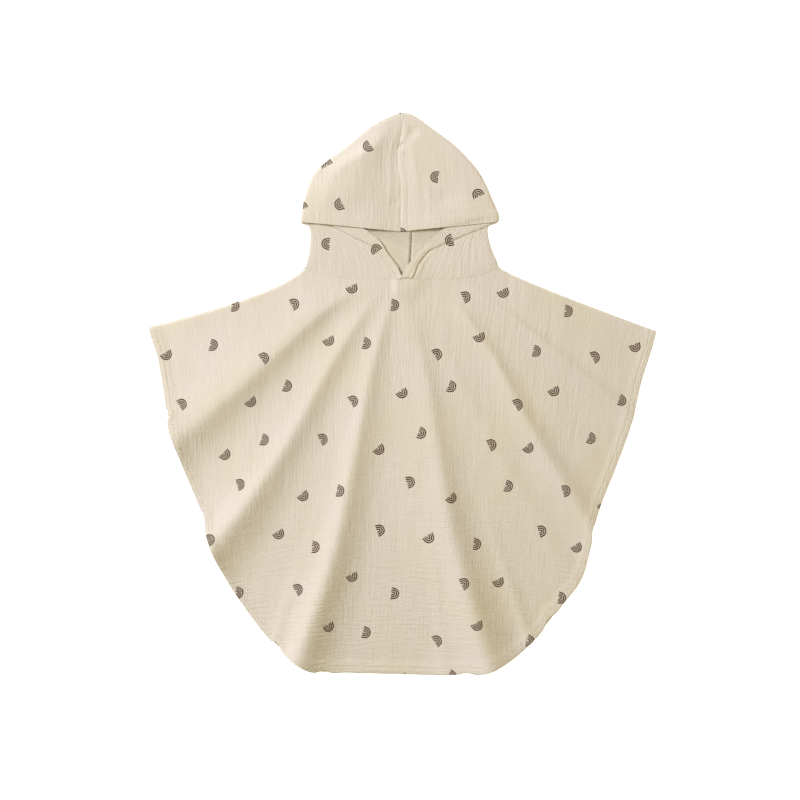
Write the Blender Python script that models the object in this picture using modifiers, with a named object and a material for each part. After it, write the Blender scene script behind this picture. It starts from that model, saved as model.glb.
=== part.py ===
"""A child's hooded poncho towel of cotton double gauze, lying flat on its back.

The poncho is a front and a back panel, joined along the shoulders. The hood is a left and a right half, joined by
a seam from the nape over the crown to the top of the face opening. +Y points to the hood, +X to the right as seen
from above, +Z up. The origin is on the surface below the middle of the whole towel. Tables are in millimetres.
"""

import math
from bisect import bisect_right
from collections import namedtuple

import bmesh
import bpy

MM = 0.001

# The cloth: two layers of gauze with their crinkle. Layers lie a gap apart. The middle surfaces of sewn edges start
# a little further apart, because the walls tilt towards each other there.
WALL = 1.5
GAP = 0.3
SEAM_GAP = 0.5
FLOOR_MID = WALL / 2
UPPER_MID = WALL + GAP + WALL / 2

# The folds and the outer edge of the poncho fan out from a point just under the chin.
FAN_X, FAN_Y = -3.0, 159.5

# The neckline, from one shoulder point to the other. The front dips lower than the back.
NECK_LEFT, NECK_RIGHT, NECK_SIDE_Y = -119.0, 118.0, 152.0
FRONT_NECK_Y, BACK_NECK_Y = 137.7, 146.0
NECK_POWER = 4
NECK_LIFT = 2.0
NECK_LIFT_REACH = 0.3

# The outer edge: how far it lies from the fan point in each direction, in degrees from straight down.
Edge = namedtuple("Edge", "direction reach")
EDGE = (
    Edge(-75.5, 315),
    Edge(-68, 316),
    Edge(-60, 329),
    Edge(-54, 346),
    Edge(-47, 361),
    Edge(-39, 385),
    Edge(-34, 413),
    Edge(-29, 437),
    Edge(-24, 460),
    Edge(-18, 488),
    Edge(-12.5, 507),
    Edge(-7, 501),
    Edge(0, 499),
    Edge(8, 504),
    Edge(12, 507),
    Edge(16, 499),
    Edge(20, 484),
    Edge(25, 461),
    Edge(30, 441),
    Edge(34, 413),
    Edge(38, 388),
    Edge(46, 362),
    Edge(55, 342),
    Edge(64, 326),
    Edge(74.9, 321.5),
)
# A shoulder leaves the neck in its aim's direction and bends into a straight line to the sleeve's tip.
SHOULDER_AIM_LEFT, SHOULDER_AIM_RIGHT = -75.0, 81.0
RAY_BEND = 0.45
BACK_INSET = 1.5

# The front panel's folds, from the left sleeve round to the right one. The crest's direction and height are given
# near the neck, midway and at the edge, and each flank's width in degrees.
Fold = namedtuple("Fold", "near middle edge rise_near rise_middle rise_edge left right")
FOLD_PLACES = (0.2, 0.6, 1.0)
FOLDS = (
    Fold(-62, -54.6, -53, 3.5, 6.5, 7, 9, 6),
    Fold(-39, -33.4, -34.8, 3.5, 8.5, 12, 6.5, 6.5),
    Fold(-15, -13.4, -14.4, 3, 11, 20, 6, 6.8),
    Fold(14.5, 11, 11.9, 2.5, 8, 18, 7, 6.5),
    Fold(19.8, 19.8, 19.8, 0, 0, 4, 2.5, 3),
    Fold(27, 26.5, 28.5, 0, 1.5, 6, 6, 4),
    Fold(53, 38.5, 35.3, 3.5, 8, 11, 6.5, 5),
    Fold(70, 60.5, 55.5, 3.5, 6.5, 4, 7, 4.5),
)

# Stations up the hood. Every row of cloth runs from the centre seam on the back layer out to the side fold, and over
# it onto the front layer: where the side fold lies, where the row leaves the seam, and the side fold's roundness.
Station = namedtuple("Station", "side_y left right back_seam roll")
SEAM_X = -2.5
STATIONS = (
    Station(152, -119, 118, 146, 1.3),
    Station(161, -115.5, 113.5, 156, 1.8),
    Station(172, -112.6, 108.5, 169, 2.4),
    Station(188, -111.2, 103.8, 187, 3),
    Station(202, -113, 103.5, 202, 3.5),
    Station(207.5, -123, 114.5, 207, 3.6),
    Station(216, -122, 116, 216, 3.6),
    Station(236, -118.5, 108, 236, 3.6),
    Station(258, -110.9, 98, 255, 3.6),
    Station(275, -99, 87, 269, 3.6),
    Station(301, -65, 62, 288, 3.6),
    Station(324, -37, 31, 303, 3.4),
    Station(334, -20.5, 15, 309, 3.2),
    Station(338.6, -10, 5, 311.5, 3.2),
    Station(339.8, SEAM_X, SEAM_X, 312.5, 3.2),
)
# The corner of the mouth. Below it the front layer is a cheek, which ends at the edge of the face opening, and above
# it the visor, which ends at the seam. Each table has a row for every station of its part: where the row ends, how
# wide and how high the layer rounds over from the side fold, and its height at its inner end.
MOUTH = 5
Cheek = namedtuple("Cheek", "left_x left_y right_x right_y round rise puff")
CHEEKS = (
    Cheek(4, 137.7, -8, 137.7, 2, 1.5, 4.5),
    Cheek(-6, 154, 6, 154, 4, 2, 4.6),
    Cheek(-17, 171, 20, 171, 6, 2.6, 5),
    Cheek(-31, 189, 38, 190, 8, 3, 6),
    Cheek(-70, 202, 70, 200, 4, 1, 5),
    Cheek(-123, 207.5, 114.5, 207.5, 0, 0, 4.4),
)
Visor = namedtuple("Visor", "front_seam round rise puff")
VISORS = (
    Visor(196, 15, 5, 15),
    Visor(206, 24, 7, 16),
    Visor(230, 30, 9, 17),
    Visor(253, 30, 9, 17),
    Visor(268, 28, 9, 17),
    Visor(288, 24, 8, 16),
    Visor(303, 18, 7, 14.5),
    Visor(309, 14, 6.5, 13.5),
    Visor(311.5, 13, 6.5, 13),
    Visor(312.5, 13, 6.5, 13),
)
# The right cheek crosses over the left one at the throat, lifted clear of it in a spot that eases out.
CROSS_LIFT = 2.1
CROSS_SPOT = (-2.0, 145.0)
CROSS_FLAT, CROSS_EASE = 16.0, 26.0
# One soft trough runs down the left half of the visor, and fades over the last stretch at each end.
TROUGH_TOP, TROUGH_FOOT = (-16.0, 312.0), (-60.0, 216.0)
TROUGH_DEPTH, TROUGH_WIDTH, TROUGH_FADE = 3.0, 12.0, 30.0

FRONT_CELLS = (56, 20)
OUTLINE_STEPS = 60
SHOULDER_STEPS = 8
NECK_STEPS = 16
BACK_COLUMNS, ROLL_COLUMNS, ROUND_COLUMNS, LAYER_COLUMNS = 5, 2, 3, 5
CHEEK_ROWS, VISOR_ROWS = 9, 15
ROUND_MOST = 0.6

CREAM = (0.80, 0.71, 0.59, 1.0)


def mix(first, second, share):
    return first + (second - first) * share


def ease(share):
    share = min(max(share, 0.0), 1.0)
    return share * share * (3 - 2 * share)


def curve_through(places, values, place):
    """The value at a place on a smooth curve through the values."""
    last = len(places) - 1
    place = min(max(place, places[0]), places[-1])
    i = min(bisect_right(places, place), last) - 1

    def slope(j):
        a, b = max(j - 1, 0), min(j + 1, last)
        return (values[b] - values[a]) / (places[b] - places[a])

    span = places[i + 1] - places[i]
    s = (place - places[i]) / span
    climb = mix(values[i], values[i + 1], s * s * (3 - 2 * s))
    return climb + span * s * (1 - s) * (slope(i) * (1 - s) - slope(i + 1) * s)


def column(rows, name, station):
    """A named column of a table at a station, which may lie between two rows."""
    values = [getattr(row, name) for row in rows]
    return curve_through(list(range(len(rows))), values, station)


def reach(direction):
    return curve_through([row.direction for row in EDGE], [row.reach for row in EDGE], direction)


def from_fan(direction, distance):
    turn = math.radians(direction)
    return FAN_X + distance * math.sin(turn), FAN_Y - distance * math.cos(turn)


def neck_y(x, middle_y):
    share = (x - (NECK_LEFT + NECK_RIGHT) / 2) / ((NECK_RIGHT - NECK_LEFT) / 2)
    return mix(middle_y, NECK_SIDE_Y, min(abs(share), 1.0) ** NECK_POWER)


def neck_height(x):
    """How far the front neckline's cloth is lifted off the back, most in its middle."""
    share = (x - (NECK_LEFT + NECK_RIGHT) / 2) / ((NECK_RIGHT - NECK_LEFT) / 2)
    return UPPER_MID + NECK_LIFT * max(1 - share * share, 0.0)


def fan_point(across, down, neck_middle, inset=0.0):
    """A point of a poncho panel: across from the left shoulder to the right, down from the neckline to the edge."""
    direction = mix(EDGE[0].direction, EDGE[-1].direction, across)
    length = reach(direction) - inset
    side = 2 * across - 1
    outer = SHOULDER_AIM_RIGHT - EDGE[-1].direction if side > 0 else SHOULDER_AIM_LEFT - EDGE[0].direction
    start_x = mix(NECK_LEFT, NECK_RIGHT, across)
    start = start_x, neck_y(start_x, neck_middle) - SEAM_GAP / 2
    bend = from_fan(direction + outer * side * side, RAY_BEND * length)
    end = from_fan(direction, length)
    weights = (1 - down) ** 2, 2 * down * (1 - down), down**2
    return tuple(sum(w * p[axis] for w, p in zip(weights, (start, bend, end))) for axis in (0, 1))


def fold_height(x, y):
    """The folds' height at a point of the front panel."""
    direction = math.degrees(math.atan2(x - FAN_X, FAN_Y - y))
    share = math.hypot(x - FAN_X, y - FAN_Y) / reach(direction)
    height = 0.0
    for fold in FOLDS:
        crest = curve_through(FOLD_PLACES, (fold.near, fold.middle, fold.edge), share)
        rise = curve_through(FOLD_PLACES, (fold.rise_near, fold.rise_middle, fold.rise_edge), share)
        spread = 1 + (1 - min(share, 1.0)) ** 2
        offset = direction - crest
        width = (fold.right if offset > 0 else fold.left) * spread
        if abs(offset) < width:
            height += max(rise, 0.0) * math.cos(math.pi / 2 * offset / width) ** 2
    return height


def grid(cells_u, cells_v, place):
    """A bmesh grid whose vertices are moved to place(u, v), in millimetres, with u and v from 0 to 1."""
    mesh = bmesh.new()
    bmesh.ops.create_grid(mesh, x_segments=cells_u, y_segments=cells_v, size=0.5)
    for vertex in mesh.verts:
        point = place(vertex.co.x + 0.5, vertex.co.y + 0.5)
        vertex.co = [value * MM for value in point]
    return mesh


def named_object(name, data, material):
    obj = bpy.data.objects.new(name, data)
    towel.objects.link(obj)
    data.materials.append(material)
    return obj


def cloth(name, sheets, colour):
    """One sewn piece: sheets joined where they meet, with a wall laid evenly on both sides."""
    data = bpy.data.meshes.new(name)
    whole = bmesh.new()
    for sheet in sheets:
        sheet.to_mesh(data)
        whole.from_mesh(data)
        sheet.free()
    bmesh.ops.remove_doubles(whole, verts=whole.verts, dist=0.01 * MM)
    whole.to_mesh(data)
    whole.free()
    data.shade_smooth()
    obj = named_object(name, data, gauze(name, colour))
    wall = obj.modifiers.new("wall", "SOLIDIFY")
    wall.thickness = WALL * MM
    wall.offset = 0
    return obj


def gauze(name, colour):
    material = bpy.data.materials.new(name + "_gauze")
    material.use_nodes = True
    shader = material.node_tree.nodes["Principled BSDF"]
    shader.inputs["Base Color"].default_value = colour
    shader.inputs["Roughness"].default_value = 0.9
    shader.inputs["Metallic"].default_value = 0.0
    return material


def front_panel():
    def place(across, down):
        x, y = fan_point(across, down, FRONT_NECK_Y)
        lift = (neck_height(x) - UPPER_MID) * (1 - ease(down / NECK_LIFT_REACH))
        return x, y, UPPER_MID + lift + fold_height(x, y) * ease(down / FOLD_PLACES[0])

    return cloth("front_panel", [grid(*FRONT_CELLS, place)], CREAM)


def back_panel():
    """A flat outline, filled and extruded: shoulders, outer edge and the back's neckline."""
    outline = [fan_point(0, i / SHOULDER_STEPS, BACK_NECK_Y, BACK_INSET) for i in range(1, SHOULDER_STEPS)]
    outline += [fan_point(i / OUTLINE_STEPS, 1, BACK_NECK_Y, BACK_INSET) for i in range(OUTLINE_STEPS + 1)]
    outline += [fan_point(1, 1 - i / SHOULDER_STEPS, BACK_NECK_Y, BACK_INSET) for i in range(1, SHOULDER_STEPS)]
    outline += [fan_point(1 - i / NECK_STEPS, 0, BACK_NECK_Y, BACK_INSET) for i in range(NECK_STEPS + 1)]
    data = bpy.data.curves.new("back_panel", "CURVE")
    data.dimensions = "2D"
    data.fill_mode = "BOTH"
    data.extrude = WALL / 2 * MM
    spline = data.splines.new("POLY")
    spline.points.add(len(outline) - 1)
    for point, (x, y) in zip(spline.points, outline):
        point.co = (x * MM, y * MM, 0, 1)
    spline.use_cyclic_u = True
    obj = named_object("back_panel", data, gauze("back_panel", CREAM))
    obj.location.z = FLOOR_MID * MM
    return obj


def trough(x, y):
    """How far the hood's soft trough takes the front layer down at a point."""
    run_x, run_y = TROUGH_FOOT[0] - TROUGH_TOP[0], TROUGH_FOOT[1] - TROUGH_TOP[1]
    length = math.hypot(run_x, run_y)
    along = ((x - TROUGH_TOP[0]) * run_x + (y - TROUGH_TOP[1]) * run_y) / length
    aside = ((x - TROUGH_TOP[0]) * run_y - (y - TROUGH_TOP[1]) * run_x) / length
    ends = ease(along / TROUGH_FADE) * ease((length - along) / TROUGH_FADE)
    return TROUGH_DEPTH * ends * math.exp(-((aside / TROUGH_WIDTH) ** 2))


def crossing(x, y):
    """How far the right cheek is lifted where it crosses over the left one."""
    distance = math.dist((x, y), CROSS_SPOT)
    return CROSS_LIFT * (1 - ease((distance - CROSS_FLAT) / CROSS_EASE))


def inward(out, inner, distance):
    """The point at a distance from the side fold towards a row's inner end."""
    span = math.dist(out, inner)
    share = distance / span if span else 0.0
    return mix(out[0], inner[0], share), mix(out[1], inner[1], share)


def onto_neckline(point, middle_y, station):
    """The rows under the first station bend down to follow the neckline."""
    x, y, z = point
    return x, mix(neck_y(x, middle_y) + SEAM_GAP / 2, y, min(station, 1.0)), z


def back_rows(out, seam, roll):
    """The back layer from the seam outwards, flat on the surface, then the lower quarter of the side fold."""
    for i in range(BACK_COLUMNS + 1):
        distance = mix(math.dist(out, seam), roll, i / BACK_COLUMNS)
        yield *inward(out, seam, distance), FLOOR_MID
    for i in range(1, ROLL_COLUMNS + 1):
        turn = math.pi / 2 * i / ROLL_COLUMNS
        yield *inward(out, seam, roll * (1 - math.sin(turn))), FLOOR_MID + roll * (1 - math.cos(turn))


def front_rows(out, inner, low, shape):
    """The upper quarter of the side fold, then the front layer to its inner end. shape reads the part's table."""
    width, rise = min(shape("round"), ROUND_MOST * math.dist(out, inner)), shape("rise")
    for i in range(1, ROUND_COLUMNS + 1):
        turn = math.pi / 2 * i / ROUND_COLUMNS
        yield *inward(out, inner, width * (1 - math.cos(turn))), low + rise * math.sin(turn)
    for i in range(1, LAYER_COLUMNS + 1):
        share = i / LAYER_COLUMNS
        distance = mix(width, math.dist(out, inner), share)
        yield *inward(out, inner, distance), mix(low + rise, shape("puff"), math.sin(math.pi / 2 * share))


def hood_row(name, sign, station, is_cheek):
    """One row of a hood half, as points in millimetres."""
    seam_x = SEAM_X + sign * SEAM_GAP / 2
    out_x = sign * max(sign * column(STATIONS, name, station), sign * seam_x)
    out = out_x, column(STATIONS, "side_y", station)
    roll = column(STATIONS, "roll", station)
    back = back_rows(out, (seam_x, column(STATIONS, "back_seam", station)), roll)
    row = [onto_neckline(point, BACK_NECK_Y, station) for point in back]
    if is_cheek:
        inner = column(CHEEKS, name + "_x", station), column(CHEEKS, name + "_y", station)
        front = front_rows(out, inner, FLOOR_MID + roll, lambda part: column(CHEEKS, part, station))
        for point in front:
            x, y, z = onto_neckline(point, FRONT_NECK_Y, station)
            z = mix(neck_height(x), z, min(station, 1.0))
            row.append((x, y, z + (crossing(x, y) if sign > 0 else 0.0)))
    else:
        inner = seam_x, column(VISORS, "front_seam", station - MOUTH)
        front = front_rows(out, inner, FLOOR_MID + roll, lambda part: column(VISORS, part, station - MOUTH))
        row += [(x, y, z - (trough(x, y) if sign < 0 else 0.0)) for x, y, z in front]
    return row


def hood_sheet(name, sign, first, last, cells, is_cheek):
    rows = [hood_row(name, sign, mix(first, last, i / cells), is_cheek) for i in range(cells + 1)]
    columns = len(rows[0]) - 1
    return grid(cells, columns, lambda up, along: rows[round(up * cells)][round(along * columns)])


def hood_half(name, sign):
    """The two sheets share the back layer's row at the corner of the mouth, where the opening's slit begins."""
    lower = hood_sheet(name, sign, 0, MOUTH, CHEEK_ROWS, is_cheek=True)
    upper = hood_sheet(name, sign, MOUTH, len(STATIONS) - 1, VISOR_ROWS, is_cheek=False)
    return cloth("hood_" + name, [lower, upper], CREAM)


for old in list(bpy.data.objects):
    bpy.data.objects.remove(old)
towel = bpy.data.collections.new("hooded_poncho_towel")
bpy.context.scene.collection.children.link(towel)

back_panel()
front_panel()
hood_half("left", -1)
hood_half("right", 1)
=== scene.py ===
"""A child's hooded poncho towel of cream cotton double gauze, laid flat on its back.

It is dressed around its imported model. +Y points to the hood, +X to the right as seen from above, +Z up.
Tables and helpers work in millimetres.
"""

import math
from bisect import bisect_right
from collections import namedtuple

import bmesh
import bpy
from mathutils import Matrix, Vector, kdtree, noise
from mathutils.bvhtree import BVHTree


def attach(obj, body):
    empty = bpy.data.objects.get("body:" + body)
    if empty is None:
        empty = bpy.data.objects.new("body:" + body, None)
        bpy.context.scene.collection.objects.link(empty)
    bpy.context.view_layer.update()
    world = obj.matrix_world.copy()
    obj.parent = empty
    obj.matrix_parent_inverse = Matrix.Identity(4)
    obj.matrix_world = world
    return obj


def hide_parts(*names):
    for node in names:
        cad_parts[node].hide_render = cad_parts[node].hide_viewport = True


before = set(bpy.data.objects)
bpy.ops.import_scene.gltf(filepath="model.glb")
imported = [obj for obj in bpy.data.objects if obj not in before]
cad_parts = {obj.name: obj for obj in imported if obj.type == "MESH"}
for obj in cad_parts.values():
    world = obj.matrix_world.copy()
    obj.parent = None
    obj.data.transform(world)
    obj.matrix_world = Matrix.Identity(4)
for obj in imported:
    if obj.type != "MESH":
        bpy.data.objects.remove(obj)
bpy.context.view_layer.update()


# ----------------------------------------------------------------------------------------------------
# Back of the poncho. One bell-shaped panel of double gauze, two thin layers tacked together that crinkle when
# washed, with its printed side out and a turned hem round its outer edge. It lies flat on the surface.

MM = 0.001
WALL = 1.3
HEM_WALL = 1.9
HEM_WIDTH = 8.0
HEM_EASE = 3.0
HEM_ZONE = 20.0
STITCH_DIP, STITCH_DIP_REACH = 0.5, 2.2

FAN_X, FAN_Y = -3.0, 159.5
NECK_LEFT, NECK_RIGHT, NECK_SIDE_Y = -119.0, 118.0, 152.0
BACK_NECK_Y = 146.0
NECK_POWER = 4
SEAM_GAP = 0.04
SEAM_ROW = 0.4

# How far the outer edge lies from the fan point in each direction, in degrees from straight down.
Edge = namedtuple("Edge", "direction reach")
EDGE = (
    Edge(-75.5, 315),
    Edge(-68, 316),
    Edge(-60, 329),
    Edge(-54, 346),
    Edge(-47, 361),
    Edge(-39, 385),
    Edge(-34, 413),
    Edge(-29, 437),
    Edge(-24, 460),
    Edge(-18, 488),
    Edge(-12.5, 507),
    Edge(-7, 501),
    Edge(0, 499),
    Edge(8, 504),
    Edge(12, 507),
    Edge(16, 499),
    Edge(20, 484),
    Edge(25, 461),
    Edge(30, 441),
    Edge(34, 413),
    Edge(38, 388),
    Edge(46, 362),
    Edge(55, 342),
    Edge(64, 326),
    Edge(74.9, 321.5),
)
SHOULDER_AIM_LEFT, SHOULDER_AIM_RIGHT = -75.0, 81.0
RAY_BEND = 0.45
BACK_INSET = 1.5
GRAIN_TURN = 1.13
# The length that the rows' spacing is worked out for.
HEM_SHARE_LENGTH = 450.0
# The cells across the panel, down its plain cloth and down its hem.
BACK_CELLS = (150, 60, 12)


def mix(first, second, share):
    return first + (second - first) * share


def ease(share):
    share = min(max(share, 0.0), 1.0)
    return share * share * (3 - 2 * share)


def hump(offset, width):
    """1 at no offset, easing to 0 at the width on either side."""
    return 1 - ease(abs(offset) / width)


def curve_through(places, values, place):
    """The value at a place on a smooth curve through the values."""
    last = len(places) - 1
    place = min(max(place, places[0]), places[-1])
    i = min(bisect_right(places, place), last) - 1

    def slope(j):
        a, b = max(j - 1, 0), min(j + 1, last)
        return (values[b] - values[a]) / (places[b] - places[a])

    span = places[i + 1] - places[i]
    s = (place - places[i]) / span
    climb = mix(values[i], values[i + 1], s * s * (3 - 2 * s))
    return climb + span * s * (1 - s) * (slope(i) * (1 - s) - slope(i + 1) * s)


EDGE_DIRECTIONS = [row.direction for row in EDGE]
EDGE_REACHES = [row.reach for row in EDGE]


def reach(direction):
    return curve_through(EDGE_DIRECTIONS, EDGE_REACHES, direction)


def from_fan(direction, distance):
    turn = math.radians(direction)
    return FAN_X + distance * math.sin(turn), FAN_Y - distance * math.cos(turn)


def fan_direction(x, y):
    return math.degrees(math.atan2(x - FAN_X, FAN_Y - y))


def fan_distance(x, y):
    return math.hypot(x - FAN_X, y - FAN_Y)


def neck_y(x, middle_y):
    share = (x - (NECK_LEFT + NECK_RIGHT) / 2) / ((NECK_RIGHT - NECK_LEFT) / 2)
    return mix(middle_y, NECK_SIDE_Y, min(abs(share), 1.0) ** NECK_POWER)


def fan_point(across, down, neck_middle, length):
    """A point of a poncho panel: across from the left shoulder to the right, down from the neckline."""
    direction = mix(EDGE[0].direction, EDGE[-1].direction, across)
    side = 2 * across - 1
    outer = SHOULDER_AIM_RIGHT - EDGE[-1].direction if side > 0 else SHOULDER_AIM_LEFT - EDGE[0].direction
    start_x = mix(NECK_LEFT, NECK_RIGHT, across)
    start = start_x, neck_y(start_x, neck_middle) - SEAM_GAP / 2
    bend = from_fan(direction + outer * side * side, RAY_BEND * length)
    end = from_fan(direction, length)
    weights = (1 - down) ** 2, 2 * down * (1 - down), down**2
    return tuple(sum(w * p[axis] for w, p in zip(weights, (start, bend, end))) for axis in (0, 1))


def shares(plain_cells, hem_cells, length):
    """The rows of a panel from the neckline to the edge, as shares, closer at the seam and the hem."""
    inner = 1 - HEM_ZONE / length
    plain = [inner * i / plain_cells for i in range(1, plain_cells)]
    return [0, SEAM_ROW / length, *plain] + [mix(inner, 1, i / hem_cells) for i in range(hem_cells + 1)]


def thickness(distance, width=HEM_WIDTH):
    """The wall at a distance from an edge whose hem has that width."""
    return mix(HEM_WALL, WALL, ease((distance - width + 1) / HEM_EASE))


def stitch_dip(distance, width=HEM_WIDTH):
    """How far the cloth is pulled down beside a hem's row of stitches."""
    return STITCH_DIP * hump(distance - width + 1, STITCH_DIP_REACH)


# The print: small arches in staggered rows on the flat cloth, each nudged off its place. A row's arches take
# the turns in order, and each row starts with another one. A turn says which way the top points, in degrees
# from +X.
ARCH_APART, ROWS_APART = 66.0, 58.0
NUDGE = 11.0
TURNS = (-56.0, -14.0, 26.0)
TURN_SPREAD = 9.0
ROWS = range(-9, 10)
# How fast each unevenness goes through its waves: per place along a row, and per row.
NUDGE_ACROSS, NUDGE_UP, TURN_SWING = (3.7, 2.1), (2.3, 5.2), (4.1, 1.0)
# The size of one unit of the arch's own map, in millimetres.
ARCH_UNIT = 10.0


def swing(place, row, waves):
    """A number from -1 to 1 that differs from arch to arch."""
    return math.sin(waves[0] * place + waves[1] * row)


def arches(shift, turn):
    """The arches on a piece that is cut with that shift and turn, and a tree to find the nearest one."""
    spin = Matrix.Rotation(math.radians(turn), 2)
    found = []
    for row in ROWS:
        for place in ROWS:
            x = (place + row % 2 / 2) * ARCH_APART + NUDGE * swing(place, row, NUDGE_ACROSS)
            y = row * ROWS_APART + NUDGE * swing(place, row, NUDGE_UP)
            own_turn = TURNS[(place + 2 * row) % len(TURNS)] + TURN_SPREAD * swing(place, row, TURN_SWING)
            x, y = spin @ Vector((x, y)) + Vector(shift)
            found.append((x, y, own_turn + turn))
    tree = kdtree.KDTree(len(found))
    for index, (x, y, _) in enumerate(found):
        tree.insert((x, y, 0), index)
    tree.balance()
    return found, tree


def cloth_mesh(rows, flats, grains, edges, print_shift, print_turn):
    """A bmesh grid on the rows' points, with its maps: the grain, the nearest arch and the hem."""
    columns, lines = len(rows[0]) - 1, len(rows) - 1
    mesh = bmesh.new()
    bmesh.ops.create_grid(mesh, x_segments=columns, y_segments=lines, size=0.5)
    grain_map, arch_map, hem_map = (mesh.loops.layers.uv.new(name) for name in ("grain", "arch", "hem"))
    place = {v: (round((v.co.y + 0.5) * lines), round((v.co.x + 0.5) * columns)) for v in mesh.verts}
    found, tree = arches(print_shift, print_turn)
    for vertex, (line, column) in place.items():
        vertex.co = Vector(rows[line][column]) * MM
    for face in mesh.faces:
        spots = [place[loop.vert] for loop in face.loops]
        flat = [Vector(flats[line][column]) for line, column in spots]
        middle = sum(flat, Vector((0, 0))) / len(flat)
        x, y, turn = found[tree.find(middle.to_3d())[1]]
        back = Matrix.Rotation(-math.radians(turn), 2)
        for loop, at, (line, column) in zip(face.loops, flat, spots):
            loop[grain_map].uv = Vector(grains[line][column]) * MM
            loop[arch_map].uv = back @ (at - Vector((x, y))) / ARCH_UNIT
            loop[hem_map].uv = Vector(edges[line][column]) * MM
    return mesh


class Wire:
    """One socket of a material. Sums and products of wires add the Math nodes they need."""

    def __init__(self, tree, socket=None):
        self.tree = tree
        self.socket = socket

    def node(self, kind, settings, inputs, output=0):
        """A node of any kind: its settings first, then its sockets by name or number, as values or wires."""
        made = self.tree.nodes.new("ShaderNode" + kind)
        for name, value in settings.items():
            setattr(made, name, value)
        for key, value in inputs.items():
            if isinstance(value, Wire):
                self.tree.links.new(value.socket, made.inputs[key])
            else:
                made.inputs[key].default_value = value
        return Wire(self.tree, made.outputs[output])

    def math(self, operation, *values):
        return self.node("Math", {"operation": operation}, dict(enumerate(values)))

    def __add__(self, other):
        return self.math("ADD", self, other)

    def __sub__(self, other):
        return self.math("SUBTRACT", self, other)

    def __rsub__(self, other):
        return self.math("SUBTRACT", other, self)

    def __mul__(self, other):
        return self.math("MULTIPLY", self, other)

    __radd__ = __add__
    __rmul__ = __mul__

    def ramp(self, low, high):
        """0 under low, 1 over high, easing between them."""
        limits = {"Value": self, "From Min": low, "From Max": high}
        return self.node("MapRange", {"interpolation_type": "SMOOTHSTEP"}, limits)

    def swirl(self, scale, detail=2.0):
        """A noise on this vector, from 0 to 1."""
        return self.node("TexNoise", {}, {"Vector": self, "Scale": scale, "Detail": detail})

    def stretched(self, x, y):
        return self.node("Mapping", {}, {"Vector": self, "Scale": (x, y, 1.0)})

    def parts(self):
        """The first two numbers of this vector."""
        split = self.node("SeparateXYZ", {}, {0: self}).socket.node
        return Wire(self.tree, split.outputs[0]), Wire(self.tree, split.outputs[1])

    def between(self, first, second):
        """A colour that goes from the first to the second as this goes from 0 to 1."""
        return self.node("Mix", {"data_type": "RGBA"}, {"Factor": self, 6: first, 7: second}, 2)


# The deeper cream is the worn tone, and also painted shade in the crinkle's hollows.
CREAM = (0.80, 0.717, 0.638, 1.0)
CREAM_WORN_AND_SHADED = (0.775, 0.685, 0.585, 1.0)
# The plain side's colours are a painted highlight on the crinkle's crests and painted shade in its hollows.
INSIDE_LIT_CRESTS = (0.85, 0.76, 0.64, 1.0)
INSIDE_SHADED_HOLLOWS = (0.60, 0.52, 0.42, 1.0)
UNBLEACHED = (0.775, 0.69, 0.515, 1.0)
INK = (0.030, 0.006, 0.001, 1.0)
INK_STAIN = (0.52, 0.25, 0.06, 1.0)

# The arch in millimetres: its inner line's radius, its lines' spacing and width, and its legs' length. The
# splay is how far the legs lean out, and the shift, in units of its map, puts its middle on its place.
ARCH_INNER, ARCH_PITCH, ARCH_LINE, ARCH_LEGS = 1.3, 2.42, 1.45, 2.9
ARCH_LINES = 3
ARCH_SPLAY = 0.18
ARCH_SHIFT = 0.14
# How far the printed lines waver, in units of the map, and the legs' ends, in millimetres, and how softly the
# lines end, in spacings, and the legs, in millimetres.
LINE_WAVER, LEG_WAVER, WAVER_SCALE = 0.04, 1.4, 2.6
LINE_SOFTNESS, LEG_SOFTNESS = 0.06, 0.3
# The lines are counted from 0, the middle of the inner one: where the count sets in and where it ends, and a
# whole number that keeps it above 0.
COUNT_FROM, COUNT_TO = (-0.35, -0.25), (ARCH_LINES - 0.6, ARCH_LINES - 0.5)
COUNT_LIFT = 100.0


def arch_ink(wires):
    """The printed arch, three nested round lines on short legs on the arch's own map, and its whole area."""
    local = wires.node("UVMap", {"uv_map": "arch"}, {})
    wobble = local.swirl(WAVER_SCALE) - 0.5
    ahead, aside = local.parts()
    ahead = ahead + ARCH_SHIFT
    front, behind = ahead.math("MAXIMUM", ahead, 0.0), ahead.math("MINIMUM", ahead, 0.0)
    aside = aside.math("ABSOLUTE", aside) + behind * ARCH_SPLAY
    radius = ahead.math("SQRT", front * front + aside * aside) + wobble * LINE_WAVER
    ring = radius * (ARCH_UNIT / ARCH_PITCH) - ARCH_INNER / ARCH_PITCH
    from_line = ring.math("PINGPONG", ring + COUNT_LIFT, 0.5)
    half = ARCH_LINE / ARCH_PITCH / 2
    line = 1 - from_line.ramp(half - LINE_SOFTNESS, half + LINE_SOFTNESS)
    within = ring.ramp(*COUNT_FROM) * (1 - ring.ramp(*COUNT_TO))
    legs = (ahead * ARCH_UNIT + wobble * LEG_WAVER + ARCH_LEGS).ramp(-LEG_SOFTNESS, LEG_SOFTNESS)
    return line * within * legs, within * legs


# The crinkle, in cycles a metre across and along the grain. The streaks run along it. The cross lines run
# over it and are stronger in patches, mostly low down. They sway by a few millimetres.
FINE_STREAKS, BROAD_STREAKS = (420, 36), (230, 26)
CROSS_LINES, FINE_CROSS_LINES = (34, 300), (75, 640)
WEAVE = (900, 900)
SWAY, SWAY_SCALE = 0.005, 30.0
# How much each adds to the height, the streaks' middle height, and the most that calm spots take away.
FINE_SHARE, BROAD_SHARE, MIDDLE = 0.61, 0.46, 0.55
CROSS_SHARE, CROSS_LEAST, FINE_CROSS_SHARE = 0.6, 0.15, 0.5
CALM_MOST = 0.35
WEAVE_SHARE, RIPPLE_SHARE = 0.5, 0.6
RELIEF, RELIEF_STRENGTH = 0.0016, 0.62
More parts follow.
